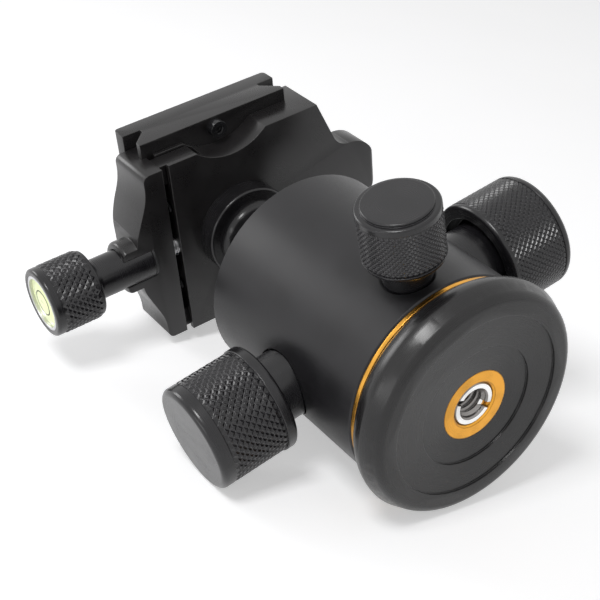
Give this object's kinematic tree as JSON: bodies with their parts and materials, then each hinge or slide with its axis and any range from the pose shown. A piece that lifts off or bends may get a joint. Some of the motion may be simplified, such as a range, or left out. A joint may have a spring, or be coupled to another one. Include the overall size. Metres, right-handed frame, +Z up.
{
  "type": "tripod ball head",
  "caption": "Ball head with a panning base, lock, friction and pan knobs, and a dovetail quick-release clamp with its camera plate.",
  "frame": {"origin": "centre of the base underside, on the pan axis", "axes": "+Z up along the pan axis to the camera screw, main lock knob on -X, pan lock knob on -Y, portrait notch on +Y"},
  "size_m": [0.0957, 0.0679, 0.1041],
  "materials": {
    "housing_black": "matte black anodised with a soft sheen",
    "base_black": "satin black anodised",
    "knob_black": "satin black anodised, knurled grip",
    "clamp_black": "satin black anodised",
    "orange_anodised": "orange anodised",
    "insert_steel": "bright plated",
    "screw_steel": "plain steel",
    "bare_alloy": "turned",
    "ball_alloy": "polished dark anodised",
    "slide_plastic": "low-friction plastic",
    "pad_rubber": "ribbed rubber",
    "level_fluid": "clear tinted fluid",
    "level_air": "air bubble"
  },
  "bodies": {
    "base": {"base_disc": "base_black", "base_bush": "orange_anodised", "thread_reducer": "insert_steel", "pan_ring": "orange_anodised", "pan_washer": "slide_plastic", "top_washer": "slide_plastic", "retaining_ring": "screw_steel", "retaining_screws": "screw_steel"},
    "housing": {"housing": "housing_black", "pan_carrier": "bare_alloy", "seat_ring": "slide_plastic", "preload_spring": "screw_steel", "lock_collar": "knob_black", "friction_collar": "knob_black", "pan_collar": "knob_black"},
    "pusher": {"cup_pusher": "bare_alloy"},
    "cup": {"ball_cup": "slide_plastic"},
    "ball": {"ball": "ball_alloy"},
    "clamp": {"fixed_jaw": "clamp_black", "stem_screw": "screw_steel", "jaw_springs": "screw_steel"},
    "moving_jaw": {"moving_jaw": "clamp_black", "thrust_washer": "slide_plastic"},
    "clamp_knob": {"clamp_knob": "knob_black", "clamp_screw": "screw_steel", "level_ring": "bare_alloy", "level_vial": "level_fluid", "level_bubble": "level_air"},
    "plate": {"plate": "clamp_black", "plate_pads": "pad_rubber", "stop_screws": "screw_steel"},
    "camera_screw": {"camera_screw": "screw_steel", "screw_clip": "screw_steel"},
    "lock_tip": {"lock_shoe": "screw_steel"},
    "lock_knob": {"lock_knob": "knob_black", "lock_screw": "screw_steel"},
    "friction_tip": {"friction_shoe": "screw_steel"},
    "friction_knob": {"friction_knob": "knob_black", "friction_screw": "screw_steel"},
    "pan_tip": {"pan_shoe": "slide_plastic"},
    "pan_knob": {"pan_knob": "knob_black", "pan_screw": "screw_steel"}
  },
  "joints": [
    {"name": "pan", "type": "hinge", "parent": "base", "child": "housing", "pos_m": [0, 0, 0.0097], "axis": [0, 0, 1], "continuous": true},
    {"name": "pusher_drop", "type": "slide", "parent": "housing", "child": "pusher", "axis": [0, 0, -1], "range_m": [0, 0.000301]},
    {"name": "ball_swing", "type": "hinge", "parent": "housing", "child": "cup", "pos_m": [0, 0, 0.047], "axis": [0, 0, 1], "range_deg": [0, 360]},
    {"name": "ball_tilt", "type": "hinge", "parent": "cup", "child": "ball", "pos_m": [0, 0, 0.047], "axis": [1, 0, 0], "range_deg": [-90, 34]},
    {"name": "stem_spin", "type": "hinge", "parent": "ball", "child": "clamp", "pos_m": [0, 0, 0.0819], "axis": [0, 0, 1], "continuous": true},
    {"name": "jaw_slide", "type": "slide", "parent": "clamp", "child": "moving_jaw", "axis": [-0.9936, -0.1132, 0], "range_m": [0, 0.004]},
    {"name": "clamp_knob_turn", "type": "hinge", "parent": "moving_jaw", "child": "clamp_knob", "pos_m": [0, 0, 0.08515], "axis": [-0.9936, -0.1132, 0], "range_deg": [0, 1800]},
    {"name": "plate_slide", "type": "slide", "parent": "clamp", "child": "plate", "axis": [-0.1132, 0.9936, 0], "range_m": [-0.0015, 0.0015]},
    {"name": "camera_screw_turn", "type": "hinge", "parent": "plate", "child": "camera_screw", "pos_m": [0, 0, 0.0887], "axis": [0, 0, 1], "continuous": true},
    {"name": "lock_tip_slide", "type": "slide", "parent": "housing", "child": "lock_tip", "axis": [-1, 0, 0], "range_m": [0, 0.000625]},
    {"name": "lock_turn", "type": "hinge", "parent": "lock_tip", "child": "lock_knob", "pos_m": [-0.03, 0, 0.0322], "axis": [-1, 0, 0], "range_deg": [0, 180]},
    {"name": "friction_tip_slide", "type": "slide", "parent": "housing", "child": "friction_tip", "axis": [0.9994, 0.0349, 0], "range_m": [0, 0.001]},
    {"name": "friction_turn", "type": "hinge", "parent": "friction_tip", "child": "friction_knob", "pos_m": [0, 0, 0.0335], "axis": [0.9994, 0.0349, 0], "range_deg": [0, 360]},
    {"name": "pan_tip_slide", "type": "slide", "parent": "housing", "child": "pan_tip", "axis": [0, -1, 0], "range_m": [0, 0.001]},
    {"name": "pan_lock_turn", "type": "hinge", "parent": "pan_tip", "child": "pan_knob", "pos_m": [0, -0.03, 0.0171], "axis": [0, -1, 0], "range_deg": [0, 360]}
  ],
  "couplings": [
    {"joint": "clamp_knob_turn", "follows": "jaw_slide", "rad_per_m": 7854},
    {"joint": "lock_turn", "follows": "lock_tip_slide", "rad_per_m": 5026.5},
    {"joint": "pusher_drop", "follows": "lock_tip_slide", "ratio": 0.48},
    {"joint": "friction_turn", "follows": "friction_tip_slide", "rad_per_m": 6283.2},
    {"joint": "pan_lock_turn", "follows": "pan_tip_slide", "rad_per_m": 6283.2}
  ]
}
